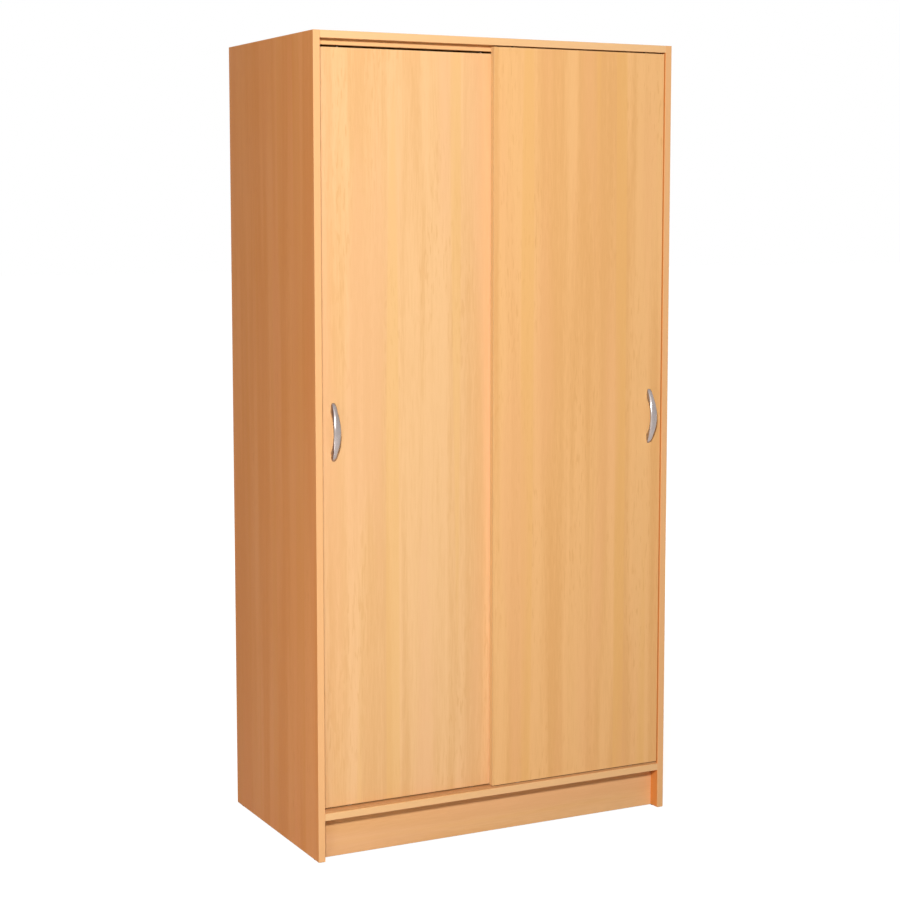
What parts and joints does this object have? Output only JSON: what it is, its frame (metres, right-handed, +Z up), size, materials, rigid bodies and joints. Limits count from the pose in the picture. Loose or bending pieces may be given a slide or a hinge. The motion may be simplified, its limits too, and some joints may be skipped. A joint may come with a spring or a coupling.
{
  "type": "sliding door cabinet",
  "caption": "Tall free-standing wardrobe in beech-effect board whose full-height doors slide past each other, with bow handles, a hat shelf, a hanging rail and a recessed plinth.",
  "frame": {"origin": "on the floor, under the middle of the box that holds the carcass and the handles", "axes": "+X to the right seen from the front, the doors face -Y, +Z up"},
  "size_m": [0.9, 0.523, 1.81],
  "materials": {
    "beech_board": "beech-effect foil on particle board, satin",
    "hardboard": "thin hardboard, printed on the inner face",
    "track_plastic": "beech-coloured extruded plastic",
    "fitting_plastic": "off-white moulded plastic",
    "glide_plastic": "brown moulded plastic",
    "satin_nickel": "satin nickel plate on a metal casting",
    "zinc_plate": "bright zinc plate",
    "chrome_rail": "chrome-plated steel tube"
  },
  "bodies": {
    "carcass": {"left_side_panel": "beech_board", "right_side_panel": "beech_board", "top_panel": "beech_board", "shelf_panel": "beech_board", "base_panel": "beech_board", "plinth": "beech_board", "rear_plinth": "beech_board", "top_guide_batten": "beech_board", "bottom_track": "track_plastic", "back_panel_left": "hardboard", "back_panel_right": "hardboard", "back_joint_strip": "fitting_plastic", "hanging_rail": "chrome_rail", "rail_socket_left": "zinc_plate", "rail_socket_right": "zinc_plate", "floor_glide_front_left": "glide_plastic", "floor_glide_front_right": "glide_plastic", "floor_glide_rear_left": "glide_plastic", "floor_glide_rear_right": "glide_plastic", "top_cam_front_left": "zinc_plate", "top_cam_front_right": "zinc_plate", "top_cam_rear_left": "zinc_plate", "top_cam_rear_right": "zinc_plate", "shelf_cam_front_left": "zinc_plate", "shelf_cam_front_right": "zinc_plate", "shelf_cam_rear_left": "zinc_plate", "shelf_cam_rear_right": "zinc_plate", "base_cam_front_left": "zinc_plate", "base_cam_front_right": "zinc_plate", "base_cam_rear_left": "zinc_plate", "base_cam_rear_right": "zinc_plate"},
    "left_door": {"left_door_panel": "beech_board", "left_handle": "satin_nickel", "left_handle_screw_lower": "zinc_plate", "left_handle_screw_upper": "zinc_plate", "left_roller_housing_outer": "fitting_plastic", "left_roller_housing_inner": "fitting_plastic", "left_roller_axle_outer": "zinc_plate", "left_roller_axle_inner": "zinc_plate", "left_guide_housing_outer": "glide_plastic", "left_guide_housing_inner": "glide_plastic"},
    "right_door": {"right_door_panel": "beech_board", "right_handle": "satin_nickel", "right_handle_screw_lower": "zinc_plate", "right_handle_screw_upper": "zinc_plate", "right_roller_housing_outer": "fitting_plastic", "right_roller_housing_inner": "fitting_plastic", "right_roller_axle_outer": "zinc_plate", "right_roller_axle_inner": "zinc_plate", "right_guide_housing_outer": "glide_plastic", "right_guide_housing_inner": "glide_plastic"},
    "left_wheel_outer": {"left_roller_wheel_outer": "fitting_plastic"},
    "left_wheel_inner": {"left_roller_wheel_inner": "fitting_plastic"},
    "right_wheel_outer": {"right_roller_wheel_outer": "fitting_plastic"},
    "right_wheel_inner": {"right_roller_wheel_inner": "fitting_plastic"},
    "left_pin_outer": {"left_guide_pin_outer": "glide_plastic"},
    "left_pin_inner": {"left_guide_pin_inner": "glide_plastic"},
    "right_pin_outer": {"right_guide_pin_outer": "glide_plastic"},
    "right_pin_inner": {"right_guide_pin_inner": "glide_plastic"}
  },
  "joints": [
    {"name": "left_door_slide", "type": "slide", "parent": "carcass", "child": "left_door", "axis": [1, 0, 0], "range_m": [0, 0.374]},
    {"name": "right_door_slide", "type": "slide", "parent": "carcass", "child": "right_door", "axis": [1, 0, 0], "range_m": [-0.374, 0]},
    {"name": "left_wheel_outer_roll", "type": "hinge", "parent": "left_door", "child": "left_wheel_outer", "pos_m": [-0.362, -0.208, 0.1214], "axis": [0, 1, 0], "continuous": true},
    {"name": "left_wheel_inner_roll", "type": "hinge", "parent": "left_door", "child": "left_wheel_inner", "pos_m": [-0.055, -0.208, 0.1214], "axis": [0, 1, 0], "continuous": true},
    {"name": "right_wheel_outer_roll", "type": "hinge", "parent": "right_door", "child": "right_wheel_outer", "pos_m": [0.362, -0.228, 0.1214], "axis": [0, 1, 0], "continuous": true},
    {"name": "right_wheel_inner_roll", "type": "hinge", "parent": "right_door", "child": "right_wheel_inner", "pos_m": [0.055, -0.228, 0.1214], "axis": [0, 1, 0], "continuous": true},
    {"name": "left_pin_outer_slide", "type": "slide", "parent": "left_door", "child": "left_pin_outer", "axis": [0, 0, 1], "range_m": [-0.008, 0], "stiffness_N_per_m": 300, "springref_m": 0.004},
    {"name": "left_pin_inner_slide", "type": "slide", "parent": "left_door", "child": "left_pin_inner", "axis": [0, 0, 1], "range_m": [-0.008, 0], "stiffness_N_per_m": 300, "springref_m": 0.004},
    {"name": "right_pin_outer_slide", "type": "slide", "parent": "right_door", "child": "right_pin_outer", "axis": [0, 0, 1], "range_m": [-0.008, 0], "stiffness_N_per_m": 300, "springref_m": 0.004},
    {"name": "right_pin_inner_slide", "type": "slide", "parent": "right_door", "child": "right_pin_inner", "axis": [0, 0, 1], "range_m": [-0.008, 0], "stiffness_N_per_m": 300, "springref_m": 0.004}
  ],
  "couplings": [
    {"joint": "left_wheel_outer_roll", "follows": "left_door_slide", "rad_per_m": 111.11},
    {"joint": "left_wheel_inner_roll", "follows": "left_door_slide", "rad_per_m": 111.11},
    {"joint": "right_wheel_outer_roll", "follows": "right_door_slide", "rad_per_m": 111.11},
    {"joint": "right_wheel_inner_roll", "follows": "right_door_slide", "rad_per_m": 111.11}
  ]
}
